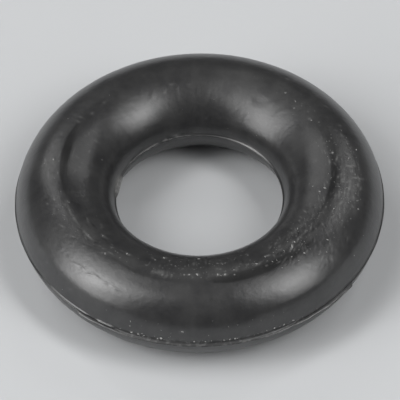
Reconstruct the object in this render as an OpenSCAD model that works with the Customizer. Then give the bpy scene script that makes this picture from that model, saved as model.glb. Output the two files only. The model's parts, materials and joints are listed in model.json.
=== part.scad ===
// Moulded rubber sealing ring.
//
// The round cord section is a little flattened by long clamping. The parting
// flash of the mould stands out along the outside and the inside diameter, a
// stretch of the outer flash is left as a torn film with a slit above it, and
// a shallow seating line runs round the crown.

/* [Ring] */
// Inside diameter of the rubber, without the flash
inside_d = 6; // [4:0.05:20]
// Width of the section, measured across the ring
section_w = 3.5; // [2.5:0.05:5]
// Height of the section, as flattened between two flat faces
section_h = 3.2; // [2.2:0.05:5]

/* [Moulding flash] */
// Thickness of the flash along the parting line
flash_t = 0.08; // [0.05:0.01:0.2]
// How far the flash stands out of the outside diameter
outer_flash = 0.06; // [0.02:0.01:0.15]
// How far the flash stands into the bore
inner_flash = 0.07; // [0.02:0.01:0.15]

/* [Torn flash film] */
// Thickness of the film
film_t = 0.05; // [0.03:0.01:0.1]
// Mean reach of the film beyond the outer flash
film_reach = 0.06; // [0.03:0.01:0.15]
// Depth of the ragged steps in the free edge of the film
film_ragged = 0.035; // [0:0.005:0.05]
// Direction in which the film begins, in degrees
film_from = -129.5; // [-135:0.5:-110]
// Direction in which the film ends, in degrees
film_to = -37.5; // [-60:0.5:-20]

/* [Slits above the film] */
// Height of a slit
slit_h = 0.06; // [0.03:0.01:0.1]
// Depth of a slit behind the free edge of the flash
slit_depth = 0.16; // [0.05:0.01:0.3]
// Arc of the slit over the beginning of the film, in degrees
first_slit_arc = 6; // [2:0.5:20]
// Arc of the slit over the end of the film, in degrees
last_slit_arc = 19; // [2:0.5:30]
// How far the first slit runs past the film, in degrees
first_slit_overrun = 4.5; // [1:0.5:10]
// How far the last slit runs past the film, in degrees
last_slit_overrun = 9; // [1:0.5:15]

/* [Crown seating line] */
// Width of the line
line_w = 0.3; // [0.1:0.01:0.5]
// Depth of the line
line_depth = 0.04; // [0.01:0.005:0.08]

/* [Hidden] */
$fn = 180;

// Centre line of the rubber cord
ring_r = (inside_d + section_w) / 2;
// Free edge of the flash outside and in the bore
outer_edge_r = ring_r + section_w / 2 + outer_flash;
bore_edge_r = inside_d / 2 - inner_flash;
// A round tool of this radius leaves a line of the given width and depth
line_tool_r = (line_w * line_w / 4 + line_depth * line_depth) / (2 * line_depth);
// The slit takes a little off the top of the film
slit_floor_z = film_t / 4;
// Angle between two corners of the free edge of the film
film_step = 2;
film_steps = ceil((film_to - film_from) / film_step);
film_angles = [for (i = [0 : film_steps]) film_from + (film_to - film_from) * i / film_steps];

// The ragged edge is the sum of a coarse and a fine wave: [waves in a full turn, share]
coarse_wave = [11, 0.6];
fine_wave = [29, 0.4];

function wave(kind, angle) = kind[1] * sin(kind[0] * angle);

// How far the film reaches past the flash in one direction
function film_reach_at(angle) =
    film_reach + film_ragged * (wave(coarse_wave, angle) + wave(fine_wave, angle));

function polar(r, angle) = [r * cos(angle), r * sin(angle)];

module cord_section() {
    scale([1, section_h / section_w]) circle(d = section_w);
}

// One strip across the cord stands out of both of its sides
module flash_section() {
    translate([bore_edge_r - ring_r, -flash_t / 2])
        square([outer_edge_r - bore_edge_r, flash_t]);
}

module crown_line_section() {
    translate([0, section_h / 2 - line_depth + line_tool_r]) circle(r = line_tool_r);
}

module moulded_ring() {
    rotate_extrude() translate([ring_r, 0]) difference() {
        union() {
            cord_section();
            flash_section();
        }
        crown_line_section();
    }
}

// Flat film that starts inside the rubber and ends at the ragged edge
module torn_film() {
    free_edge = [for (a = film_angles) polar(outer_edge_r + film_reach_at(a), a)];
    root = [for (i = [film_steps : -1 : 0]) polar(ring_r, film_angles[i])];
    translate([0, 0, -film_t / 2]) linear_extrude(film_t) polygon(concat(free_edge, root));
}

// Slit that parts the film from the rubber above it, open to the outside
module slit(from_angle, arc) {
    rotate(from_angle) rotate_extrude(angle = arc)
        translate([outer_edge_r - slit_depth, slit_floor_z])
            square([slit_depth + film_reach + film_ragged, slit_h]);
}

module o_ring() {
    color([0.15, 0.15, 0.16]) difference() {
        union() {
            moulded_ring();
            torn_film();
        }
        slit(film_from - first_slit_overrun, first_slit_overrun + first_slit_arc);
        slit(film_to - last_slit_arc, last_slit_arc + last_slit_overrun);
    }
}

o_ring();
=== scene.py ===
"""Studio scene of a moulded rubber sealing ring: the ring, its dust, the floor, lights and camera."""
import functools
import json
import math
import random

import bmesh
import bpy
from mathutils import Matrix, Quaternion, Vector, noise


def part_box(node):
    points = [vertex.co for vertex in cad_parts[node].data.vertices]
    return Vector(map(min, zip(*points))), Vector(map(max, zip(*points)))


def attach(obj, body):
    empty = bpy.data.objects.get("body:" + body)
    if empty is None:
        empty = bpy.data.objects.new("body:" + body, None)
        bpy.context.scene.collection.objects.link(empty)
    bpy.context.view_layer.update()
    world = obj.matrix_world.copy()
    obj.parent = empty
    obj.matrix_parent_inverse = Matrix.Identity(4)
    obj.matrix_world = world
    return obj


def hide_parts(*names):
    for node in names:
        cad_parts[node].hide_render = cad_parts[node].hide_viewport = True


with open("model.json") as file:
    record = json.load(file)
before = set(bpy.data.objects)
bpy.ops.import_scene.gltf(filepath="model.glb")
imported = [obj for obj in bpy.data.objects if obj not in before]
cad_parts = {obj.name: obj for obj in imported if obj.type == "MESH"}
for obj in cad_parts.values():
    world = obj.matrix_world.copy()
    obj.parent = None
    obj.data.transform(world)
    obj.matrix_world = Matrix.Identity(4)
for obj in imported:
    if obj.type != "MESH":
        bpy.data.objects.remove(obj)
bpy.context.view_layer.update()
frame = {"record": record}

MM = 0.001

# ---------------------------------------------------------------------------
# Sizes, in millimetres unless they say otherwise
#
# Directions (az) are degrees round the ring from +X towards +Y. Section angles (psi) are degrees round
# the cord: 0 on the outside, 90 on the crown, 180 in the bore and 270 on the floor.
# ---------------------------------------------------------------------------
ring_low, ring_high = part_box("o_ring")
bore_mount = frame["record"]["mounts"][0]
BORE_EDGE_R = bore_mount["dims"]["r_mm"]   # free edge of the flash in the bore
OUTER_EDGE_R = ring_high.x / MM            # free edge of the trimmed outer flash
HALF_H = -ring_low.z / MM                  # half the section's height
OUTER_FLASH = 0.06                         # how far the trimmed flash stands out
INNER_FLASH = 0.07
INSIDE_R = BORE_EDGE_R + INNER_FLASH
OUTSIDE_R = OUTER_EDGE_R - OUTER_FLASH
RING_R = (INSIDE_R + OUTSIDE_R) / 2        # the cord's centre line
HALF_W = (OUTSIDE_R - INSIDE_R) / 2        # half the section's width

STEPS_ROUND = 600                          # copies of the section in the full turn
MERGE_DISTANCE = 1e-5                      # far below any edge of the mesh

# The seating line worn into the crown: direction, section angle of its middle, half its width,
# its depth and how dark its painted shade is. It comes and goes on its way round.
LINE_PATH = (
    (-180, 88.0, 0.092, 0.005, 0.62), (-172, 90.0, 0.060, 0.003, 0.42),
    (-165, 92.5, 0.045, 0.001, 0.25), (-159, 93.0, 0.040, 0.0, 0.0), (-131, 84.0, 0.040, 0.0, 0.0),
    (-126, 83.0, 0.045, 0.001, 0.30), (-110, 79.5, 0.050, 0.001, 0.30),
    (-103, 80.0, 0.045, 0.001, 0.22), (-99, 81.0, 0.040, 0.0, 0.0), (-87, 84.0, 0.080, 0.0, 0.0),
    (-84.5, 82.2, 0.135, 0.005, 0.66), (-78, 81.8, 0.165, 0.006, 0.74), (-70, 82.0, 0.165, 0.006, 0.74),
    (-57, 82.0, 0.130, 0.005, 0.66), (-46, 81.0, 0.130, 0.004, 0.54), (-38, 82.0, 0.120, 0.001, 0.25),
    (-34, 86.0, 0.120, 0.0, 0.10), (-27, 91.0, 0.150, 0.001, 0.22), (-20, 91.0, 0.140, 0.004, 0.42),
    (-12, 90.2, 0.120, 0.006, 0.62), (0, 90.0, 0.115, 0.006, 0.62), (4, 89.5, 0.105, 0.005, 0.50),
    (9, 88.0, 0.090, 0.004, 0.45), (14, 87.5, 0.100, 0.002, 0.30), (24, 86.0, 0.120, 0.0, 0.10),
    (36, 85.0, 0.120, 0.0, 0.0), (151, 88.0, 0.060, 0.0, 0.0), (153, 88.0, 0.070, 0.003, 0.40),
    (160, 88.3, 0.115, 0.005, 0.55), (167, 89.5, 0.137, 0.006, 0.66), (172, 89.3, 0.135, 0.006, 0.66),
    (180, 88.0, 0.092, 0.005, 0.62),
)
LINE_FROM, LINE_TO = 66, 106               # section angles that the line keeps well within
LINE_SWAY = 0.02                           # how far it wanders sideways
LINE_UNEVEN = 0.25                         # how much its width changes, as a share of it
# Where across the line its depth and its painted shade end: 0 is its middle and 1 its edge
LINE_DEPTH_ENDS, LINE_PAINTED_SHADE_ENDS = (0.3, 1.3), (0.75, 1.2)

SEEDS_APART = 7.3                          # far enough for two seeds of noise to have nothing in common


# ---------------------------------------------------------------------------
# Small helpers
# ---------------------------------------------------------------------------
def smooth(edge0, edge1, x):
    """0 before edge0, 1 after edge1 and a smooth rise between them."""
    t = min(max((x - edge0) / (edge1 - edge0), 0.0), 1.0)
    return t * t * (3 - 2 * t)


def turn_between(a, b):
    """The signed angle from b to a in degrees, between -180 and 180."""
    return (a - b + 180.0) % 360.0 - 180.0


def stretch(az, start, end, soft):
    """1 on the arc from start to end, falling to 0 over soft degrees past each end."""
    middle, half = (start + end) / 2, (end - start) / 2
    return 1 - smooth(half, half + soft, abs(turn_between(az, middle)))


def on_arcs(az, arcs):
    """The sum in one direction of values given on arcs: start, end, soft degrees and value of each."""
    return sum(value * stretch(az, start, end, soft) for start, end, soft, value in arcs)


def round_noise(az, waves, seed):
    """Noise along the ring that joins up with itself; waves is its count of bumps in a turn."""
    a, r = math.radians(az), waves / (2 * math.pi)
    return noise.noise(Vector((r * math.cos(a), r * math.sin(a), SEEDS_APART * seed)))


def at(az, r, z):
    """The point in direction az, r away from the ring's axis and z above its middle."""
    a = math.radians(az)
    return Vector((r * math.cos(a), r * math.sin(a), z))


# ---------------------------------------------------------------------------
# The skin of the rubber
# ---------------------------------------------------------------------------
def cord_point(az, psi):
    """Point and outward normal of the plain section; psi turns from the outside (0) over the crown."""
    p = math.radians(psi)
    point = at(az, RING_R + HALF_W * math.cos(p), HALF_H * math.sin(p))
    normal = at(az, math.cos(p) / HALF_W, math.sin(p) / HALF_H)
    return point, normal.normalized()


@functools.lru_cache(maxsize=None)
def along_path(az):
    """The seating line's section angle, half width, depth and painted shade in one direction."""
    for (az0, *first), (az1, *last) in zip(LINE_PATH, LINE_PATH[1:]):
        if az0 <= az <= az1:
            t = smooth(az0, az1, az)
            return [a + (b - a) * t for a, b in zip(first, last)]
    return LINE_PATH[0][1:]


def seating_line(az, psi):
    """How deep the seating line is at a place, and how dark its painted shade is."""
    if not LINE_FROM < psi < LINE_TO:
        return 0.0, 0.0
    middle, half, depth, painted_shade = along_path(az)
    across = math.radians(psi - middle) * HALF_W + LINE_SWAY * round_noise(az, 50, 2)
    place = abs(across) / (half * (1 + LINE_UNEVEN * round_noise(az, 26, 1)))
    return (depth * (1 - smooth(*LINE_DEPTH_ENDS, place)),
            painted_shade * (1 - smooth(*LINE_PAINTED_SHADE_ENDS, place)))


# Scuffs, nicks and low ridges: direction, section angle, turn from the ring's run, length, width
# and depth, which is below 0 where the mark stands up
MARKS = (
    (-139, 79, 20, 0.55, 0.07, 0.005), (-146, 73, 35, 0.40, 0.06, 0.006),
    (-133, 72, -30, 0.35, 0.06, 0.005), (-128, 96, 10, 0.60, 0.07, 0.005),
    (-146, 54, 75, 0.16, 0.04, -0.010), (-141, 53.2, 5, 0.25, 0.07, -0.008),
    (-138, 52.5, 12, 0.30, 0.07, -0.011), (-134.5, 54, -18, 0.24, 0.07, -0.013),
    (-131, 52.5, 15, 0.26, 0.07, -0.013), (-128, 54.5, -12, 0.28, 0.07, -0.014),
    (-124.5, 53.5, 20, 0.22, 0.07, -0.012), (-120.5, 52.5, -8, 0.30, 0.08, -0.010),
    (-166, 66, 80, 0.30, 0.06, 0.006), (-161, 69, 85, 0.40, 0.07, 0.006),
    (-4, 66, 100, 0.35, 0.06, -0.007), (1, 72, 80, 0.30, 0.08, -0.007),
    (6.5, 72, 70, 0.28, 0.07, -0.007), (-10, 72, 0, 0.55, 0.07, -0.005),
    (-10, 62, 20, 0.40, 0.06, 0.006), (-18, 73, 60, 0.30, 0.06, 0.006),
    (-25, 67, 75, 0.35, 0.06, 0.006), (12, 62, 40, 0.30, 0.06, 0.006),
    (173, 77, 10, 0.20, 0.09, -0.008), (174.5, 71.5, 60, 0.25, 0.05, 0.007),
    (56.5, 116, 4, 0.62, 0.30, 0.018), (45.7, 116, 85, 0.60, 0.14, 0.005),
    (60.5, 119.5, -15, 0.24, 0.14, -0.012), (43, 112, 60, 0.45, 0.20, -0.007),
    (49.5, 110, 75, 0.38, 0.28, -0.014), (52, 135, 20, 0.50, 0.20, 0.005),
    (114.0, 115.5, 25, 0.28, 0.16, -0.010), (118, 104, 75, 0.45, 0.24, -0.008),
    (101, 118, 88, 0.60, 0.16, -0.005), (103.3, 107.5, 10, 0.20, 0.13, -0.008),
    (88, 119, 88, 0.50, 0.12, -0.005), (91, 121, 85, 0.60, 0.16, 0.006),
    (73.5, 102, 85, 0.35, 0.12, -0.005), (83, 120, 80, 0.60, 0.14, -0.004),
    (126, 118, -30, 0.50, 0.20, 0.006),
)

# Strokes of dust, bare strokes rubbed clean and two of painted highlight: direction, section angle,
# turn from the ring's run, length, width, and tone, which is above 0 for dust and painted highlight and
# below 0 for a bare stroke
STROKES = (
    (-157, 86.8, 0, 1.00, 0.11, 0.35), (-158, 87.4, 0, 0.30, 0.07, 0.50),
    (-143.2, 87, 0, 0.46, 0.075, 0.55), (-143.5, 83.8, 0, 0.65, 0.05, -0.6),
    (-148.6, 88.5, -45, 0.30, 0.04, -0.7), (-146, 84.8, -20, 0.22, 0.04, -0.6),
    (-130, 87.5, 0, 0.35, 0.07, 0.30), (-135, 87, 5, 0.25, 0.06, 0.20),
    (-123.3, 98, 0, 0.26, 0.11, 0.40), (-126.7, 98, 0, 0.15, 0.09, 0.25),
    (-138, 100, 20, 0.25, 0.09, 0.22), (-145, 109.5, -35, 0.26, 0.07, 0.25),
    (148.3, 85.5, 90, 0.20, 0.07, 0.25), (150.8, 85.5, 80, 0.18, 0.07, 0.30),
    (143.8, 93, 0, 0.15, 0.10, 0.22), (136, 93, 10, 0.26, 0.10, 0.15), (172.8, 77, 0, 0.15, 0.09, 0.60),
    (180, 83.3, 0, 0.13, 0.05, 0.55), (-167, 75, 0, 0.15, 0.06, 0.45), (-168, 66, 90, 0.30, 0.06, -0.4),
    (-162, 68, 90, 0.50, 0.07, -0.3), (174.5, 71.5, 60, 0.25, 0.05, -0.4),
    (-154, 69.5, 25, 0.26, 0.06, 0.30), (-140.4, 74, 45, 0.12, 0.05, 0.35),
    (-169.5, 95, 0, 0.12, 0.06, -0.4), (-167, 93.5, 0, 0.15, 0.07, -0.4),
    (-163, 93.5, 10, 0.16, 0.09, -0.5), (180, 72, 0, 0.55, 0.06, 0.35), (173, 66, 10, 0.30, 0.09, 0.30),
    (170, 82.5, 0, 0.30, 0.08, 0.25), (182, 78, 30, 0.30, 0.08, 0.25), (176, 68, -10, 0.40, 0.08, 0.25),
    (166, 71, 30, 0.30, 0.09, 0.18), (164, 115.5, -12, 0.35, 0.05, 0.30),
    (170, 104, 60, 0.25, 0.08, 0.22), (160, 110, -20, 0.35, 0.07, 0.20),
    (176, 110, 80, 0.30, 0.10, 0.22), (168, 98, 0, 0.50, 0.05, 0.22), (179, 103, -30, 0.30, 0.08, 0.22),
    (173, 94.8, 0, 0.60, 0.04, -0.6), (-107.7, 114, 30, 0.22, 0.13, 0.45),
    (-113, 108, -45, 0.22, 0.10, 0.28), (-105.7, 86, 108, 0.18, 0.05, 0.90),
    (-106, 88, 0, 0.60, 0.28, 0.32), (-109.5, 87.5, 90, 0.26, 0.14, 0.45),
    (-103.8, 87.5, 80, 0.30, 0.11, 0.45), (-102, 86.5, 90, 0.20, 0.09, 0.40),
    (-87, 88, 70, 0.30, 0.10, 0.30), (-93.3, 109.5, 95, 0.22, 0.10, 0.35),
    (-90.7, 123, 0, 0.15, 0.12, 0.55), (-89, 114, 90, 0.40, 0.06, -0.4),
    (-87.5, 113, 90, 0.40, 0.05, 0.25), (-86.3, 113, 88, 0.45, 0.06, -0.4),
    (-80.3, 106, 100, 0.20, 0.12, 0.25), (-80.7, 114, 90, 0.12, 0.08, 0.28),
    (-77, 108, 70, 0.25, 0.05, 0.22), (-83, 88.7, 0, 0.15, 0.12, 0.60),
    (-80.1, 87.7, 0, 0.16, 0.12, 0.65), (-94.7, 90, 0, 0.15, 0.10, 0.60),
    (-91.5, 90.5, 0, 0.16, 0.12, 0.65), (-74.7, 93, 60, 0.35, 0.16, 0.35),
    (-76, 91, 0, 0.22, 0.08, 0.40), (-70, 94, 90, 0.20, 0.06, 0.40),
    (-65.3, 90.5, 10, 0.30, 0.10, 0.45), (-67.5, 93, -30, 0.20, 0.07, 0.25),
    (-60, 96.5, -20, 0.23, 0.08, 0.60), (-57.5, 92, 70, 0.20, 0.06, 0.35),
    (-56, 95, 80, 0.25, 0.05, 0.30), (-57.7, 81.5, 0, 0.16, 0.06, 0.35),
    (-53.3, 94, -40, 0.30, 0.12, 0.32), (-48.8, 89, 28, 0.27, 0.07, 0.95),
    (-50, 87, 15, 0.20, 0.05, 0.45), (-44, 92.5, 30, 0.20, 0.08, 0.50),
    (-38.3, 93.5, 20, 0.15, 0.07, 0.55), (-41.3, 103, 70, 0.25, 0.07, 0.35),
    (-15, 85, 0, 0.25, 0.06, 0.35), (-9.5, 71, 0, 0.66, 0.07, 0.95), (-7, 80, 0, 0.35, 0.12, 0.50),
    (-12.5, 75.5, 5, 0.30, 0.06, 0.45), (-4, 64, 104, 0.50, 0.07, 0.85),
    (1.2, 72, 80, 0.30, 0.12, 0.65), (7, 71, 70, 0.22, 0.10, 0.60), (-13, 64, 10, 0.30, 0.10, 0.50),
    (-7, 61, -15, 0.20, 0.10, 0.50), (-5, 82, 0, 0.40, 0.06, 0.45), (-18, 76, -20, 0.30, 0.10, 0.40),
    (-20, 70, 20, 0.40, 0.08, 0.35), (-8, 57, -20, 0.20, 0.08, 0.35), (-10, 66, 0, 0.70, 0.30, 0.28),
    (-14, 81, 10, 0.60, 0.10, 0.35), (3, 66, 0, 0.30, 0.10, 0.30), (17, 71, 0, 0.18, 0.10, 0.28),
    (5, 86, -18, 0.30, 0.07, 0.55), (8.2, 89.5, -10, 0.15, 0.07, 0.60), (3.3, 95, 0, 0.22, 0.06, 0.45),
    (10.3, 101, 0, 0.20, 0.07, 0.28), (5.5, 113, -5, 0.40, 0.06, 0.18), (30, 95, 70, 0.18, 0.12, 0.32),
    (42, 92, -20, 0.22, 0.10, 0.38), (34, 91, 0, 0.15, 0.10, 0.22), (-22.6, 90, 0, 0.11, 0.08, 0.40),
    (-14.2, 104.5, 25, 0.18, 0.06, 0.55), (-11, 99.5, 15, 0.28, 0.06, 0.55),
    (-19, 102, 18, 0.30, 0.05, 0.38), (-9.3, 102, 0, 0.12, 0.05, -0.5),
    (-96, 18.8, 0, 0.13, 0.10, 0.40), (-135.5, 21, 60, 0.16, 0.10, 0.22),
    (94.3, 111, 0, 0.16, 0.12, 0.12), (103.3, 107.5, 10, 0.18, 0.10, 0.18),
    # The two strokes in the bore, at section angle 178, are painted highlight along the flash; on the tab
    # they also make its torn rubber pale.
    (167, 178, 0, 1.20, 0.40, 1.60), (50, 178, 0, 2.00, 0.14, 0.80),
)

# More strokes, drawn at random: count, directions and section angles from and to, turns, lengths,
# widths and tones from and to
STROKE_ZONES = (
    (200, -58, -22, 70, 112, 20, 62, 0.10, 0.32, 0.045, 0.065, -1.0, 0.50),
    (50, -46, -28, 42, 72, 15, 70, 0.10, 0.24, 0.045, 0.065, -0.9, 0.40),
    (80, -26, 6, 60, 86, -20, 20, 0.10, 0.35, 0.045, 0.065, -0.8, 0.6),
    (46, -26, 8, 60, 86, 60, 120, 0.08, 0.25, 0.045, 0.065, -0.9, 0.6),
    (60, -30, 12, 86, 112, -5, 25, 0.08, 0.26, 0.040, 0.060, -0.9, 0.55),
    (70, -114, -60, 84, 99, -60, 60, 0.06, 0.16, 0.045, 0.090, -0.5, 0.55),
    (30, -104, -66, 100, 128, 75, 105, 0.10, 0.35, 0.045, 0.070, -0.9, 0.45),
    (40, -172, -130, 80, 102, -15, 40, 0.08, 0.30, 0.045, 0.080, -0.8, 0.5),
    (30, 164, 200, 62, 84, -60, 90, 0.08, 0.22, 0.050, 0.080, -0.8, 0.4),
    (24, 150, 184, 98, 120, 0, 180, 0.08, 0.22, 0.050, 0.080, -0.6, 0.4),
    (50, 94, 146, 174, 183, -12, 12, 0.12, 0.40, 0.060, 0.160, -1.6, 0.7),
    (44, 10, 62, 60, 100, 0, 180, 0.08, 0.22, 0.050, 0.090, -0.7, 0.35),
    (70, -180, 180, 20, 160, 0, 180, 0.08, 0.30, 0.050, 0.080, -0.6, 0.30),
)

FADE = 1.1                                 # a mark can be felt this many of its lengths away
PSI_BAND = 10                              # marks are looked up for bands of so many degrees
BAND_MARGIN = 2                            # degrees added on each side of a band


def draw_strokes():
    """The strokes above and the random ones."""
    draw = random.Random(7)
    strokes = list(STROKES)
    for count, *ranges in STROKE_ZONES:
        for _ in range(count):
            strokes.append([draw.uniform(least, most) for least, most in zip(ranges[::2], ranges[1::2])])
    return strokes


def with_reach(rows):
    """The rows with each turn as cosine and sine, and with the degrees in which each can be felt.

    The last two values are those degrees, round the ring and round the section, where they count from
    the middle of a band.
    """
    result = []
    for az, psi, turn, length, width, value in rows:
        c, s = math.cos(math.radians(turn)), math.sin(math.radians(turn))
        reach_round = math.degrees(FADE * math.hypot(length * c, width * s) / RING_R)
        reach_over = PSI_BAND / 2 + BAND_MARGIN + math.degrees(FADE * max(length, width) / HALF_W)
        result.append((az, psi, c, s, length, width, value, reach_round, reach_over))
    return result


FELT = {"marks": with_reach(MARKS), "strokes": with_reach(draw_strokes())}


@functools.lru_cache(maxsize=None)
def near_az(kind, az):
    """The marks or strokes within reach of one direction."""
    return [felt for felt in FELT[kind] if abs(turn_between(az, felt[0])) < felt[-2]]


@functools.lru_cache(maxsize=None)
def near(kind, az, psi_band):
    """The marks or strokes within reach of one direction and one band of the section."""
    middle = PSI_BAND * (psi_band + 0.5)
    return [felt for felt in near_az(kind, az) if abs(felt[1] - middle) < felt[-1]]


def shares(kind, az, psi):
    """The last value of each mark or stroke near a place, times its share there."""
    for mark_az, mark_psi, c, s, length, width, value, _, _ in near(kind, az, int(psi // PSI_BAND)):
        along = math.radians(turn_between(az, mark_az)) * RING_R
        across = math.radians(psi - mark_psi) * HALF_W
        u, v = along * c + across * s, across * c - along * s
        yield value * math.exp(-(2 * u / length) ** 2 - (2 * v / width) ** 2)


def tones_at(az, psi):
    """How much dust the strokes leave, with the painted highlight of the two in the bore, and how clean
    they rub the skin.
    """
    tones = list(shares("strokes", az, psi))
    return max([0.0, *tones]), max([0.0, *(-tone for tone in tones)])


# Unevenness of the skin: how far apart its bumps are, their height, and a shift of the noise's start
BUMPS = ((2.6, 0.012, (0, 0, 0)), (0.9, 0.005, (5, 1, 3)), (0.27, 0.0016, (1, 8, 2)))
SHRINKAGE = 0.014                          # how much lower than the plain section the skin lies
# The degrees from the flash and from the foot over which both set in
FREE_OF_FLASH, FREE_OF_FLOOR = (2, 14), (4, 30)

# The lands beside the outer parting line, where the skin falls away a little faster than the section:
# arcs with their depth, and the section angles over which a land sets in and ends
LANDS = ((-150, -113, 8, 0.019), (-70, -32, 8, 0.0152))
LAND_SETS_IN, LAND_ENDS = (2, 16), (22, 36.5)

# The crown's inner shoulder has sunk a little under load, which leaves a flatter flank: its depth, the
# arc with none of it, arcs with more of it, and its section angles
FLANK_DEPTH, FLANK_SOUND = 0.010, (45, 130, 15)
FLANK_DEEPER = ((167, 176, 18, 0.020), (-22, 16, 10, 0.008))
FLANK_FROM, FLANK_FULL, FLANK_FADES, FLANK_TO = 94, 107, 108, 150


def unevenness(point, psi):
    """The bumps and the shrinkage of the skin, which come to nothing at the flash and on the floor."""
    from_flash = min(abs(turn_between(psi, 0)), abs(turn_between(psi, 180)))
    free = smooth(*FREE_OF_FLASH, from_flash) * smooth(*FREE_OF_FLOOR, abs(turn_between(psi, 270)))
    bumps = sum(height * noise.noise(point / apart + Vector(shift)) for apart, height, shift in BUMPS)
    return free * (bumps - SHRINKAGE)


def land_drop(az, psi):
    """How much lower the lands lie."""
    return on_arcs(az, LANDS) * smooth(*LAND_SETS_IN, psi) * (1 - smooth(*LAND_ENDS, psi))


def flank_drop(az, psi):
    """How much lower the flank lies."""
    if not FLANK_FROM < psi < FLANK_TO:
        return 0.0
    t = min((psi - FLANK_FROM) / (FLANK_FULL - FLANK_FROM), 1.0)
    depth = FLANK_DEPTH * (1 - stretch(az, *FLANK_SOUND)) + on_arcs(az, FLANK_DEEPER)
    return depth * t * (2 - t) * (1 - smooth(FLANK_FADES, FLANK_TO, psi))


def skin_offset(az, psi):
    """How far the real skin lies outside the plain section."""
    offset = unevenness(cord_point(az, psi)[0], psi) - land_drop(az, psi) - flank_drop(az, psi)
    return offset - seating_line(az, psi)[0] - sum(shares("marks", az, psi))


def skin_point(az, psi, lift=0.0):
    """The point of the real skin, raised by lift, and the plain section's normal there."""
    point, normal = cord_point(az, psi)
    return point + normal * (skin_offset(az, psi) + lift), normal


# ---------------------------------------------------------------------------
# The flash: the places of its corners, from the upper root to the lower one
# ---------------------------------------------------------------------------
# The outer flash is trimmed, apart from the film that tore instead: an arc, how far each stands out,
# how ragged its edge is, and how far the film curls down
TORN_FILM = (-130, -38, 1.2)
FILM_REACH, FILM_RAGGED = 0.125, 0.03
TRIMMED_REACH, TRIMMED_RAGGED = 0.045, 0.012
FILM_CURL = 0.03

# Above the outer flash: arcs with a lip and with a lip that comes and goes, arcs with a slit, and the
# arc on which the film's root is filled up
LIPS = ((-143, -128, 2, 0.026), (-122.8, -118, 1, 0.055))
UNEVEN_LIPS = ((-170, -120, 8, 0.012), (-60, -20, 4, 0.012))
SLITS = ((-134.5, -124, 1.5, 0.11), (-57, -29, 4, 0.12), (-157, -149, 2, 0.06))
FILLED_ROOT = (-114, -66, 3)

# The flash in the bore: how far it stands out and how ragged it is, then the arc on which it is torn,
# with what that changes, and the arc of its one tab, with the tab's reach and how far it turns up
BORE_REACH, BORE_RAGGED = 0.056, 0.008
BORE_TORN, TORN_SHORTER, TORN_RAGGED, TORN_LIFT = (96, 146, 6), 0.022, 0.060, 0.016
BORE_TAB, TAB_REACH, TAB_LIFT = (162, 173, 5), 0.065, 0.035


def outer_flash_corners(az):
    """(distance out of the rubber, height) of each corner of the outer flash in one direction."""
    film = stretch(az, *TORN_FILM)
    torn = FILM_REACH + FILM_RAGGED * (round_noise(az, 60, 4) + 0.6 * round_noise(az, 170, 5))
    trimmed = TRIMMED_REACH + TRIMMED_RAGGED * round_noise(az, 45, 6)
    reach = trimmed + (torn - trimmed) * film
    lip = on_arcs(az, LIPS) + (1 + round_noise(az, 30, 7)) * on_arcs(az, UNEVEN_LIPS)
    filled = stretch(az, *FILLED_ROOT)
    slit = on_arcs(az, SLITS)
    curl = -FILM_CURL * film * (0.6 + 0.8 * round_noise(az, 24, 8))
    return (
        (0.0, 0.110), (0.55 * lip, 0.098), (lip, 0.080), (0.85 * lip, 0.066),
        (0.08 * reach * filled - slit, 0.058), (0.13 * reach * filled - slit, 0.038),
        (0.15 * reach, 0.032 + 0.1 * curl),
        (0.60 * reach, 0.030 + 0.5 * curl), (reach - 0.010, 0.024 + curl), (reach, curl),
        (reach - 0.010, -0.024 + curl), (0.55 * reach, -0.034 + 0.5 * curl), (0.0, -0.050),
    )


def inner_flash_corners(az):
    """The same for the flash in the bore, which is ragged at the back and stands out in one tab."""
    torn, tab = stretch(az, *BORE_TORN), stretch(az, *BORE_TAB)
    ragged = 0.7 * round_noise(az, 60, 10) + 0.6 * round_noise(az, 150, 12)
    reach = BORE_REACH + BORE_RAGGED * round_noise(az, 34, 9) + TAB_REACH * tab
    reach -= torn * (TORN_SHORTER + TORN_RAGGED * ragged)
    lift = TAB_LIFT * tab + TORN_LIFT * torn * round_noise(az, 120, 11)
    return (
        (0.0, 0.060), (0.25 * reach, 0.047 + 0.011 * torn + 0.3 * lift),
        (0.70 * reach, 0.036 + 0.020 * torn + 0.7 * lift), (0.95 * reach, 0.020 + 0.016 * torn + lift),
        (reach, lift), (0.95 * reach, -0.020 + lift),
        (0.70 * reach, -0.036 + 0.7 * lift), (0.25 * reach, -0.047), (0.0, -0.060),
    )


def section_angle(corner):
    """Where a corner that lies on the rubber is, as an angle from the middle of its side."""
    return math.degrees(math.asin(corner[1] / HALF_H))


OUTER_CORNERS, INNER_CORNERS = len(outer_flash_corners(0)), len(inner_flash_corners(0))
OUTER_TOP_PSI, OUTER_FOOT_PSI = (section_angle(outer_flash_corners(0)[end]) for end in (0, -1))
INNER_ROOT_PSI = section_angle(inner_flash_corners(0)[0])   # above and below the middle


# ---------------------------------------------------------------------------
# The ring's mesh
# ---------------------------------------------------------------------------
# What the skin's mesh tells the material at each place
# The first note holds bare strokes and the seating line's painted shade together.
NOTES = ("bare_and_painted_shade", "scratched", "pale", "parting", "haze", "dull", "scuff", "dusty")

# Dust in the outer parting line: its share all round, the arc with all of it, and the section angles
# over which it ends
PARTING_DUSTY, PARTING_DUSTIEST, PARTING_FADES = 0.25, (-112, -56, 5), (3, 9)

# Places of its own for drawn-out textures: "run" has a small turn, which draws a texture out along
# the ring, and "across" has a low height, which draws it out across the ring
DRAWN_OUT = ("run", "across")
RUN_RADIUS, ACROSS_HEIGHT = 0.9, 0.5

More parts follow.
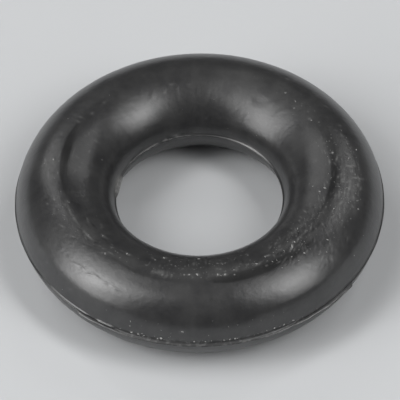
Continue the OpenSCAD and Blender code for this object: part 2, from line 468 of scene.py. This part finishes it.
# Patches of the skin: direction, section angle, half their length in degrees, half their height, how
# hazy, how dull, how scuffed and how dusty
PATCHES = (
    (-13, 70, 15, 15, 0.70, 0.6, 1.0, 0.60), (5, 75, 12, 14, 0.30, 0.4, 0.4, 0.40),
    (-40, 94, 20, 14, 0.10, 0.3, 0.7, 0.40), (-90, 92, 30, 10, 0.90, 0.2, 0.1, 0.40),
    (-130, 90, 30, 8, 0.40, 0.15, 0.2, 0.15), (71, 113, 14, 27, 0.90, 0.6, 0.0, 0.0),
    (50, 122, 16, 26, 0.20, 0.9, 0.0, 0.0), (178, 75, 11, 12, 0.80, 0.6, 0.6, 0.20),
    (167, 108, 17, 12, 0.40, 1.0, 0.1, 0.0), (-160, 84, 14, 8, 0.40, 0.15, 0.2, 0.15),
    (-98, 112, 24, 12, 0.20, 0.15, 0.1, 0.25), (118, 106, 16, 14, 0.10, 0.5, 0.0, 0.0),
    (-100, 68, 20, 14, 0.30, 0.0, 0.0, 0.0), (25, 95, 22, 12, 0.30, 0.15, 0.2, 0.20),
    (56, 90, 26, 13, 0.80, 0.2, 0.0, 0.0), (-5, 108, 24, 14, 0.30, 1.0, 0.1, 0.10),
    (122, 128, 16, 16, 0.0, 0.45, 0.0, 0.0), (-60, 55, 20, 16, 0.0, 0.4, 0.0, 0.0),
    (-80, 110, 40, 14, 0.10, 0.15, 0.1, 0.15), (112, 180, 42, 7, 0.0, 2.0, 0.0, 0.0),
    (-85, 0, 50, 6, 0.0, 0.8, 0.0, 0.0),
)


def patches_at(az, psi):
    """How hazy, dull, scuffed and dusty the skin is: 0 is clean and smooth."""
    total = [0.0, 0.0, 0.0, 0.0]
    for middle_az, middle_psi, half_long, half_high, *kinds in PATCHES:
        along, across = turn_between(az, middle_az) / half_long, turn_between(psi, middle_psi) / half_high
        share = math.exp(-(along * along + across * across) ** 2)
        total = [t + share * k for t, k in zip(total, kinds)]
    return [min(1.0, t) for t in total]


# Stretches of the outline between the roots of the flash: section angle at the end, steps
UPPER_STRETCHES = ((12, 5), (46, 14), (60, 14), (73, 9), (108, 40), (168, 24), (180 - INNER_ROOT_PSI, 5))
LOWER_STRETCHES = ((192, 4), (348, 22), (360 + OUTER_FOOT_PSI, 5))


def sweep_arc(bm, vert, start, end, steps):
    """Carries the outline on from vert round the cord's centre, and returns its last vertex."""
    made = bmesh.ops.spin(bm, geom=[vert], cent=(RING_R, 0, 0), axis=(0, -1, 0), dvec=(0, 0, 0),
                          angle=math.radians(end - start), steps=steps, use_duplicate=False)
    return next(g for g in made["geom_last"] if isinstance(g, bmesh.types.BMVert))


def sweep_stretches(bm, vert, start, stretches):
    """Carries the outline on from vert over each stretch in turn."""
    for end, steps in stretches:
        vert = sweep_arc(bm, vert, start, end, steps)
        start = end
    return vert


def draw_flash(bm, vert, count, rise):
    """Carries the outline on from vert to count vertices in all, whose places come later."""
    chain = [vert]
    while len(chain) < count:
        chain += bmesh.ops.extrude_vert_indiv(bm, verts=[chain[-1]])["verts"]
        chain[-1].co.z += rise / count
    return chain


def ring_outline(bm):
    """The closed outline of the cord in the XZ plane. The flash's vertices get their corner's number."""
    corner = bm.verts.layers.int.new("corner")
    start = math.radians(OUTER_TOP_PSI)
    first = bm.verts.new((RING_R + HALF_W * math.cos(start), 0, HALF_W * math.sin(start)))
    vert = sweep_stretches(bm, first, OUTER_TOP_PSI, UPPER_STRETCHES)
    drop = -2 * HALF_W * math.sin(math.radians(INNER_ROOT_PSI))
    inner = draw_flash(bm, vert, INNER_CORNERS, drop)
    vert = sweep_stretches(bm, inner[-1], 180 + INNER_ROOT_PSI, LOWER_STRETCHES)
    outer = draw_flash(bm, vert, OUTER_CORNERS - 1, first.co.z - vert.co.z)
    bmesh.ops.contextual_create(bm, geom=[outer[-1], first])
    for number, vert in enumerate(inner):
        vert[corner] = -1 - number
    for number, vert in enumerate([first] + outer[::-1]):
        vert[corner] = 1 + number
    bmesh.ops.scale(bm, vec=(1, 1, HALF_H / HALF_W), verts=bm.verts)


def curved_away(z):
    """How far the cord's side has curved away at a height near its middle."""
    return HALF_W / 2 * (z / HALF_H) ** 2


def flash_place(az, number):
    """The place of one corner of the flash: numbers above 0 lie outside, those below 0 in the bore."""
    if number > 0:
        out, z = outer_flash_corners(az)[number - 1]
        return at(az, OUTSIDE_R - curved_away(z) + out, z)
    out, z = inner_flash_corners(az)[-number - 1]
    return at(az, INSIDE_R + curved_away(z) - out, z)


def parting_dust(az, psi):
    """How much dust the outer parting line holds."""
    most = PARTING_DUSTY + (1 - PARTING_DUSTY) * stretch(az, *PARTING_DUSTIEST)
    return most * (1 - smooth(*PARTING_FADES, abs(turn_between(psi, 0))))


def shape_skin(bm):
    """Moves every vertex from the plain ring to the real skin, with the notes for the material."""
    corner = bm.verts.layers.int["corner"]
    notes = [bm.verts.layers.float.new(name) for name in NOTES]
    run, across = (bm.verts.layers.float_vector.new(name) for name in DRAWN_OUT)
    for v in bm.verts:
        az = round(math.degrees(math.atan2(v.co.y, v.co.x)), 3)
        out = (math.hypot(v.co.x, v.co.y) - RING_R) / HALF_W
        psi = math.degrees(math.atan2(v.co.z / HALF_H, out)) % 360
        v.co = flash_place(az, v[corner]) if v[corner] else skin_point(az, psi)[0]
        from_crown = math.radians(turn_between(psi, 90))
        v[run] = at(az, RUN_RADIUS, from_crown * HALF_W)
        v[across] = at(az, RING_R, from_crown * ACROSS_HEIGHT)
        pale, scratched = tones_at(az, psi)
        # The seating line's painted shade goes into the same note as the bare strokes.
        bare_and_painted_shade = max(scratched, seating_line(az, psi)[1])
        values = bare_and_painted_shade, scratched, pale, parting_dust(az, psi), *patches_at(az, psi)
        for layer, value in zip(notes, values):
            v[layer] = value


def to_object(bm, name, material):
    """Turns a bmesh drawn in millimetres into an object in metres."""
    bmesh.ops.scale(bm, vec=(MM, MM, MM), verts=bm.verts)
    mesh = bpy.data.meshes.new(name)
    bm.to_mesh(mesh)
    bm.free()
    mesh.materials.append(material)
    obj = bpy.data.objects.new(name, mesh)
    bpy.context.scene.collection.objects.link(obj)
    return obj


def finish_piece(bm, name, material):
    """Turns a bmesh into a smooth-shaded piece that rides on the part."""
    bmesh.ops.recalc_face_normals(bm, faces=bm.faces)
    for face in bm.faces:
        face.smooth = True
    obj = to_object(bm, name, material)
    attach(obj, "root")
    return obj


def make_ring(material):
    bm = bmesh.new()
    ring_outline(bm)
    bmesh.ops.spin(bm, geom=bm.verts[:] + bm.edges[:], cent=(0, 0, 0), axis=(0, 0, 1), dvec=(0, 0, 0),
                   angle=math.tau, steps=STEPS_ROUND, use_merge=True, use_duplicate=False)
    bmesh.ops.remove_doubles(bm, verts=bm.verts, dist=MERGE_DISTANCE)
    shape_skin(bm)
    ring = finish_piece(bm, "moulded_ring", material)
    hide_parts("o_ring")


# ---------------------------------------------------------------------------
# Dust
# ---------------------------------------------------------------------------
# Scattered crumbs: count, directions from and to, section angles from and to, and smallest and
# largest radius
DUST_ZONES = (
    (46, -62, 20, 58, 104, 0.006, 0.013), (24, -62, -24, 84, 104, 0.007, 0.014),
    (16, -110, -60, 86, 97, 0.005, 0.012), (20, -118, -62, 100, 128, 0.006, 0.012),
    (30, -118, -48, 2, 7, 0.007, 0.016), (14, -122, -60, 8, 30, 0.006, 0.012),
    (44, -180, 180, 12, 165, 0.005, 0.010),
)

CRUMB_SWELL = 1.25                         # crumbs are made this much larger than listed
CRUMB_STANDS = 0.3                         # how far its middle stands above the skin, in radii
CRUMB_WIDTHS, CRUMB_HEIGHTS = (0.6, 1), (0.4, 0.8)   # in radii
CRUMB_JITTER = 0.22                        # how far its corners stray, as a share of its radius
DUST_LENGTHS = (1, 1.2, 1.6, 2.5)          # how many times longer than wide scattered crumbs are

# Crumbs that stand out: direction, section angle, radius, how many times longer than wide
CRUMBS = (
    (-94.7, 90, 0.028, 1.2), (-91.5, 90.4, 0.032, 1.2), (-83.1, 88.7, 0.026, 1.2),
    (-80.1, 87.7, 0.028, 1.2), (-48.5, 89.5, 0.026, 3.0), (-46, 92.5, 0.020, 2.0),
    (-22, 81, 0.024, 1.2), (-52, 79, 0.022, 1.2), (-47, 74, 0.022, 1.4), (-36, 67, 0.026, 1.2),
    (-40, 58, 0.018, 1.6), (-32, 28, 0.018, 1.2), (-17, 54, 0.018, 1.6), (-108, 113, 0.024, 1.6),
    (-91, 122, 0.020, 2.0), (-80, 105, 0.012, 2.0), (-112.5, 20, 0.018, 1.8), (-112.5, 13, 0.016, 1.4),
    (-96, 19, 0.026, 1.8), (-111.8, 4.5, 0.026, 1.4), (-109.6, 4.5, 0.026, 1.3),
    (-107.8, 4.5, 0.028, 1.4), (-103.5, 4.5, 0.026, 1.2), (-102.4, 5.5, 0.032, 1.3),
    (-92.4, 4.5, 0.024, 1.2), (-89, 4.5, 0.020, 1.4), (-83.3, 4.5, 0.024, 1.4),
    (-81.5, 5.0, 0.022, 1.5), (-80, 4.5, 0.026, 1.3), (-70, 5.5, 0.022, 1.6), (-67.5, 6, 0.026, 1.4),
    (-64.3, 5.5, 0.022, 1.8), (-61, 6, 0.024, 2.0), (5, 72, 0.020, 1.6), (10, 59, 0.022, 1.8),
    (-12, 99, 0.020, 2.4), (-14, 104, 0.018, 1.8), (-39, 104, 0.016, 3.0), (-124, 98, 0.020, 2.0),
    (-139, 100, 0.010, 3.0), (173, 76.5, 0.018, 1.6), (-61, 96, 0.018, 2.0), (-76, 92, 0.010, 2.4),
    (-66, 91, 0.018, 2.6), (8, 89.5, 0.016, 2.6), (29, 95, 0.016, 2.0), (42, 92, 0.016, 2.0),
)


def add_crumb(bm, draw, az, psi, radius, longer):
    """Adds one crumb of dust, turned and shaped at random by draw."""
    radius *= CRUMB_SWELL
    place, normal = skin_point(az, psi, CRUMB_STANDS * radius)
    turn = normal.to_track_quat("Z", "Y") @ Quaternion((0, 0, 1), draw.uniform(0, math.tau))
    size = Matrix.Diagonal((longer, draw.uniform(*CRUMB_WIDTHS), draw.uniform(*CRUMB_HEIGHTS), 1))
    made = bmesh.ops.create_icosphere(bm, subdivisions=1, radius=radius,
                                      matrix=Matrix.Translation(place) @ turn.to_matrix().to_4x4() @ size)
    for v in made["verts"]:
        v.co += Vector([draw.uniform(-CRUMB_JITTER, CRUMB_JITTER) * radius for _ in range(3)])


def make_dust(material):
    draw = random.Random(20)
    bm = bmesh.new()
    for count, az_from, az_to, psi_from, psi_to, least, most in DUST_ZONES:
        for _ in range(count):
            radius = least + (most - least) * draw.random() ** 2
            az, psi = draw.uniform(az_from, az_to), draw.uniform(psi_from, psi_to)
            add_crumb(bm, draw, az, psi, radius, draw.choice(DUST_LENGTHS))
    for crumb in CRUMBS:
        add_crumb(bm, draw, *crumb)
    finish_piece(bm, "dust_crumbs", material)


# ---------------------------------------------------------------------------
# Node helpers
# ---------------------------------------------------------------------------
MIX_SHARE, MIX_FIRST, MIX_SECOND, MIX_RESULT = 0, 6, 7, 2   # a Mix node's sockets for colours


def put(tree, kind, inputs=None, **settings):
    """Adds a node, sets its settings, and links or sets each named or numbered input."""
    node = tree.nodes.new(kind)
    for key, value in settings.items():
        setattr(node, key, value)
    for key, value in (inputs or {}).items():
        if isinstance(value, bpy.types.NodeSocket):
            tree.links.new(value, node.inputs[key])
        else:
            node.inputs[key].default_value = value
    return node


def in_turn(tree, operation, values):
    """Works through the values two at a time, as in a sum."""
    result, *rest = values
    for value in rest:
        result = put(tree, "ShaderNodeMath", {0: result, 1: value}, operation=operation).outputs[0]
    return result


def plus(tree, *values):
    return in_turn(tree, "ADD", values)


def times(tree, *values):
    return in_turn(tree, "MULTIPLY", values)


def largest(tree, *values):
    return in_turn(tree, "MAXIMUM", values)


def spread(tree, value, given, wanted=(0.0, 1.0), rise="LINEAR"):
    """Maps value from the given range on to the wanted one in a straight line, and no further."""
    inputs = {"Value": value, "From Min": given[0], "From Max": given[1],
              "To Min": wanted[0], "To Max": wanted[1]}
    return put(tree, "ShaderNodeMapRange", inputs, interpolation_type=rise).outputs["Result"]


def ramp(tree, value, given, wanted=(0.0, 1.0)):
    """The same with a smooth rise."""
    return spread(tree, value, given, wanted, "SMOOTHSTEP")


def blend_colour(tree, share, first, second):
    """Mixes two colours, each of which is a socket or red, green and blue."""
    first, second = (c if isinstance(c, bpy.types.NodeSocket) else (*c, 1) for c in (first, second))
    mix = put(tree, "ShaderNodeMix", {MIX_SHARE: share, MIX_FIRST: first, MIX_SECOND: second},
              data_type="RGBA")
    return mix.outputs[MIX_RESULT]


def noted(tree, name):
    """Reads what the skin's mesh tells under a name."""
    return put(tree, "ShaderNodeAttribute", attribute_name=name).outputs


def new_group(name, inputs, outputs):
    """A shader node group with float or vector sockets; returns the tree, its input and output nodes."""
    tree = bpy.data.node_groups.new(name, "ShaderNodeTree")
    for in_out, sockets in (("INPUT", inputs), ("OUTPUT", outputs)):
        for label, kind in sockets.items():
            tree.interface.new_socket(label, in_out=in_out, socket_type="NodeSocket" + kind)
    return tree, tree.nodes.new("NodeGroupInput"), tree.nodes.new("NodeGroupOutput")


def put_group(tree, group, inputs):
    return put(tree, "ShaderNodeGroup", inputs, node_tree=group).outputs


# ---------------------------------------------------------------------------
# Effects that several finishes use
# ---------------------------------------------------------------------------
MOTTLE_CRISPNESS = 0.6
SPECK_LEAST = 0.35                         # the smallest speck, in sizes; the largest is 1 more
SPECK_CORE = 0.6                           # how much of a speck's radius is solid


def mottle_group():
    """Soft irregular patches: a value around 0.5 that changes over the surface."""
    tree, given, result = new_group(
        "mottle", {"Place": "Vector", "Per mm": "Float", "Detail": "Float"}, {"Value": "Float"})
    cloud = put(tree, "ShaderNodeTexNoise", {
        "Vector": given.outputs["Place"], "Scale": given.outputs["Per mm"],
        "Detail": given.outputs["Detail"], "Roughness": MOTTLE_CRISPNESS})
    tree.links.new(cloud.outputs["Fac"], result.inputs["Value"])
    return tree


def put_mottle(tree, mottle, place, per_mm, detail):
    return put_group(tree, mottle, {"Place": place, "Per mm": per_mm, "Detail": detail})["Value"]


def specks_group():
    """Scattered round specks: 1 on a speck. Share is the part of the cells that hold one."""
    tree, given, result = new_group(
        "specks", {"Place": "Vector", "Per mm": "Float", "Share": "Float", "Size": "Float"},
        {"Mask": "Float"})
    cells = put(tree, "ShaderNodeTexVoronoi", {
        "Vector": given.outputs["Place"], "Scale": given.outputs["Per mm"], "Randomness": 1.0})
    chance = put(tree, "ShaderNodeSeparateColor", {"Color": cells.outputs["Color"]})
    chosen = in_turn(tree, "LESS_THAN", (chance.outputs["Red"], given.outputs["Share"]))
    reach = times(tree, given.outputs["Size"], plus(tree, chance.outputs["Green"], SPECK_LEAST))
    inside = ramp(tree, cells.outputs["Distance"], (times(tree, reach, SPECK_CORE), reach), (1.0, 0.0))
    tree.links.new(times(tree, chosen, inside), result.inputs["Mask"])
    return tree


def put_specks(tree, specks, place, per_mm, share, size):
    inputs = {"Place": place, "Per mm": per_mm, "Share": share, "Size": size}
    return put_group(tree, specks, inputs)["Mask"]


def new_material(name, rgb):
    """A material with its node tree, its shader and the place on the piece in millimetres."""
    material = bpy.data.materials.new(name)
    material.use_nodes = True
    material.diffuse_color = (*rgb, 1)
    tree = material.node_tree
    shader = tree.nodes["Principled BSDF"]
    place = put(tree, "ShaderNodeTexCoord").outputs["Object"]
    in_mm = put(tree, "ShaderNodeMapping", {"Vector": place, "Scale": (1 / MM, 1 / MM, 1 / MM)})
    return material, tree, shader, in_mm.outputs["Vector"]


def put_bump(tree, shader, height, depth):
    """Makes the surface look raised by depth millimetres where height is 1."""
    bump = put(tree, "ShaderNodeBump", {"Height": height, "Distance": depth * MM, "Strength": 1.0})
    tree.links.new(bump.outputs["Normal"], shader.inputs["Normal"])


# ---------------------------------------------------------------------------
# Materials
# ---------------------------------------------------------------------------
RUBBER_DARK = (0.015, 0.015, 0.016)
RUBBER_PALE = (0.038, 0.038, 0.038)
# Near black for bare strokes, and for the painted shade of the seating line
BARE_AND_SHADE_BLACK = (0.004, 0.004, 0.004)
LINE_COVERS = 0.95                         # how much of the rubber's own colour bare places and the painted shade lose
RUBBER_SHINE = 0.78                        # the shader's specular level

# Textures of the rubber: the place they read, how many bumps fit in a millimetre, and their detail
RUBBER_TEXTURES = {
    "patches": ("whole", 0.8, 3.0),
    "bands": ("across", 1.3, 3.0),
    "pores": ("whole", 6.0, 4.0),
    "streaks": ("run", 4.5, 5.0),
}

# From fresh to worn, the rubber turns pale and a little rougher. The roughness stays above 0.275,
# below which smooth places render with hard-edged blotches.
WEAR_MIX = {"patches": 0.45, "bands": 0.35, "pores": 0.20}
FRESH_TO_WORN = (0.36, 0.64)
ROUGHNESS = (0.276, 0.300)
DULL_ROUGHER, SCUFF_ROUGHER, DUST_ROUGHER = 0.12, 0.03, 0.5

# Fine and coarse specks of dust: cells in a millimetre, the part of them with a speck where it is
# dustiest, a speck's size as a share of its cell, and how much of the rubber it hides
DUST_SPECKS = ((13.0, 0.5, 0.40, 0.16), (7.0, 0.25, 0.30, 0.25))

# Dust in a thin bloom, in scuffs, in the parting line and in strokes: the texture that breaks it up,
# over which of its values, and how much of the rubber the dust hides at both ends
DUST_LAYERS = {
    "haze": ("patches", (0.30, 0.70), (0.027, 0.045)),
    "scuff": ("streaks", (0.38, 0.64), (0.0, 0.10)),
    "parting": ("pores", (0.50, 0.62), (0.0, 0.10)),
    # The pale layer also holds the painted highlight of the two strokes in the bore.
    "pale": ("pores", (0.35, 0.60), (0.20, 0.45)),
}

# Relief of the rubber: the depth of its pores, and of the rest as a share of that
PORE_DEPTH = 0.0065
STREAK_RELIEF, DUST_RELIEF, SCRATCH_RELIEF = 0.2, 0.8, -0.5

# The dust's grey, also used for the painted highlight on the flash in the bore
DUST_GREY = (0.42, 0.42, 0.41)
CRUMB_DARK, CRUMB_PALE = (0.15, 0.15, 0.145), (0.46, 0.46, 0.45)
CRUMB_PER_MM, CRUMB_DETAIL = 12.0, 2.0
CRUMB_ROUGHNESS, CRUMB_RELIEF = 0.9, 0.004

FLOOR_GREY = (0.54, 0.55, 0.56)
FLOOR_PER_MM, FLOOR_DETAIL = 0.15, 2.0
FLOOR_MOTTLE = 0.01                        # how much paler and darker its patches are
FLOOR_ROUGHNESS = 0.8


def dust_and_highlight_cover(tree, specks, place, skin, textures):
    """How much of the rubber dust hides at each place, the painted highlight in the bore included."""
    covers = []
    for per_mm, share, size, cover in DUST_SPECKS:
        mask = put_specks(tree, specks, place, per_mm, times(tree, skin["dusty"], share), size)
        covers.append(times(tree, mask, cover))
    for note, (texture, values, cover) in DUST_LAYERS.items():
        covers.append(times(tree, skin[note], ramp(tree, textures[texture], values, cover)))
    return largest(tree, *covers)


def rubber_material(mottle, specks):
    material, tree, shader, place = new_material("black_rubber", RUBBER_DARK)
    skin = {name: noted(tree, name)["Fac"] for name in NOTES}
    places = {name: noted(tree, name)["Vector"] for name in DRAWN_OUT}
    places["whole"] = place
    textures = {name: put_mottle(tree, mottle, places[where], per_mm, detail)
                for name, (where, per_mm, detail) in RUBBER_TEXTURES.items()}
    dust = dust_and_highlight_cover(tree, specks, place, skin, textures)
    worn = plus(tree, *(times(tree, textures[name], share) for name, share in WEAR_MIX.items()))

    rubber = blend_colour(tree, spread(tree, worn, FRESH_TO_WORN), RUBBER_DARK, RUBBER_PALE)
    # Bare strokes and the seating line's painted shade darken the rubber towards near black.
    rubber = blend_colour(tree, times(tree, skin["bare_and_painted_shade"], LINE_COVERS), rubber, BARE_AND_SHADE_BLACK)
    # Dust, and the painted highlight in the bore, cover the rubber in dust grey.
    tree.links.new(blend_colour(tree, dust, rubber, DUST_GREY), shader.inputs["Base Color"])

    rough = plus(
        tree,
        spread(tree, worn, FRESH_TO_WORN, ROUGHNESS),
        times(tree, skin["dull"], DULL_ROUGHER),
        times(tree, skin["scuff"], SCUFF_ROUGHER),
        times(tree, dust, DUST_ROUGHER),
    )
    tree.links.new(rough, shader.inputs["Roughness"])
    shader.inputs["Specular IOR Level"].default_value = RUBBER_SHINE

    height = plus(
        tree,
        textures["pores"],
        times(tree, textures["streaks"], STREAK_RELIEF),
        times(tree, dust, DUST_RELIEF),
        times(tree, skin["scratched"], SCRATCH_RELIEF),
    )
    put_bump(tree, shader, height, PORE_DEPTH)
    return material


def dust_material(mottle):
    material, tree, shader, place = new_material("dust", DUST_GREY)
    shade = put_mottle(tree, mottle, place, CRUMB_PER_MM, CRUMB_DETAIL)
    tree.links.new(blend_colour(tree, shade, CRUMB_DARK, CRUMB_PALE), shader.inputs["Base Color"])
    shader.inputs["Roughness"].default_value = CRUMB_ROUGHNESS
    put_bump(tree, shader, shade, CRUMB_RELIEF)
    return material


def floor_material(mottle):
    material, tree, shader, place = new_material("pale_floor", FLOOR_GREY)
    tone = put_mottle(tree, mottle, place, FLOOR_PER_MM, FLOOR_DETAIL)
    darker, paler = ([c * (1 + change) for c in FLOOR_GREY] for change in (-FLOOR_MOTTLE, FLOOR_MOTTLE))
    tree.links.new(blend_colour(tree, tone, darker, paler), shader.inputs["Base Color"])
    shader.inputs["Roughness"].default_value = FLOOR_ROUGHNESS
    return material


# ---------------------------------------------------------------------------
# Floor, lights and camera
# ---------------------------------------------------------------------------
FLOOR_HALF = 1500.0

# Softboxes: direction and height in degrees of the lower end and of the upper end as seen from the
# ring, width, and light. The two main ones have a brighter core.
LIGHT_DISTANCE = 400.0
SOFTBOXES = {
    "left_softbox": ((-157, 5), (-177, 69), 240, 0.64),
    "left_softbox_core": ((-157, 28), (-171, 56), 100, 0.29),
    "left_softbox_low": ((-163, 8), (-152, 26), 170, 0.11),
    "left_softbox_top": ((173, 56), (130, 71), 80, 0.07),
    "right_softbox": ((-31, 18), (-7, 66), 140, 0.335),
    "right_softbox_core": ((-32, 36), (-18, 57), 100, 0.19),
    "right_softbox_top": ((-22, 57), (32, 71), 60, 0.10),
    "back_left_softbox": ((127, 28), (116, 48), 54, 0.069),
    "back_right_softbox": ((48, 37), (57, 50), 58, 0.059),
}
WORLD_GREY = 0.08                          # the even light from all round

CAMERA_ELEVATION, CAMERA_ROLL = 49.7, -1.06   # in degrees
CAMERA_DISTANCE = 25 * RING_R
FRAME_PX = 400                             # the picture's width
CENTRE_LINE_PX = 134.04                    # the radius of the cord's centre line in the picture
PX_PER_MM = CENTRE_LINE_PX / RING_R
AIM_PX = (0.47, -1.05)                     # the picture's middle, to the right of the ring's and above it
SENSOR_MM = 36.0
CLIP_FROM, CLIP_TO = 5.0, 10000.0


def make_floor(material):
    bm = bmesh.new()
    bmesh.ops.create_grid(bm, x_segments=2, y_segments=2, size=FLOOR_HALF,
                          matrix=Matrix.Translation((0, 0, -HALF_H)))
    floor = to_object(bm, "floor", material)


def direction(az, elevation):
    """The unit vector that points in direction az and elevation degrees up."""
    up = math.radians(elevation)
    return at(az, math.cos(up), math.sin(up))


def make_softbox(name, lower, upper, width, light):
    """Hangs a lamp between two ends seen from the ring, and turns it to the ring.

    light is how bright it alone makes a white surface that faces it.
    """
    low_end, high_end = (direction(*end) * LIGHT_DISTANCE for end in (lower, upper))
    middle, span = (low_end + high_end) / 2, high_end - low_end
    out, along = middle.normalized(), span.normalized()
    lamp = bpy.data.lights.new(name, "AREA")
    lamp.shape = "RECTANGLE"
    lamp.size, lamp.size_y = width * MM, span.length * MM
    lamp.energy = light * math.pi ** 2 * (middle.length * MM) ** 2
    box = bpy.data.objects.new(name, lamp)
    box.location = middle * MM
    box.rotation_euler = Matrix((along.cross(out), along, out)).transposed().to_euler()
    bpy.context.scene.collection.objects.link(box)


def make_world():
    world = bpy.data.worlds.new("studio")
    world.use_nodes = True
    background = world.node_tree.nodes["Background"].inputs
    background["Color"].default_value = (1, 1, 1, 1)
    background["Strength"].default_value = WORLD_GREY
    bpy.context.scene.world = world


def make_camera():
    data = bpy.data.cameras.new("camera")
    camera = bpy.data.objects.new("camera", data)
    up_angle = math.radians(CAMERA_ELEVATION)
    back = Vector((0, -math.cos(up_angle), math.sin(up_angle)))
    right = Vector((1, 0, 0))
    up = back.cross(right)
    aim = (right * AIM_PX[0] + up * AIM_PX[1]) / PX_PER_MM
    camera.location = (aim + back * CAMERA_DISTANCE) * MM
    turn = back.to_track_quat("Z", "Y") @ Quaternion((0, 0, 1), math.radians(CAMERA_ROLL))
    camera.rotation_euler = turn.to_euler()
    data.sensor_width = SENSOR_MM
    data.lens = SENSOR_MM * PX_PER_MM * CAMERA_DISTANCE / FRAME_PX
    data.clip_start, data.clip_end = CLIP_FROM * MM, CLIP_TO * MM
    bpy.context.scene.collection.objects.link(camera)
    bpy.context.scene.camera = camera


mottle, specks = mottle_group(), specks_group()
make_ring(rubber_material(mottle, specks))
make_dust(dust_material(mottle))
make_floor(floor_material(mottle))
for box_name, box_facts in SOFTBOXES.items():
    make_softbox(box_name, *box_facts)
make_world()
make_camera()
bpy.context.scene.view_settings.view_transform = "Standard"
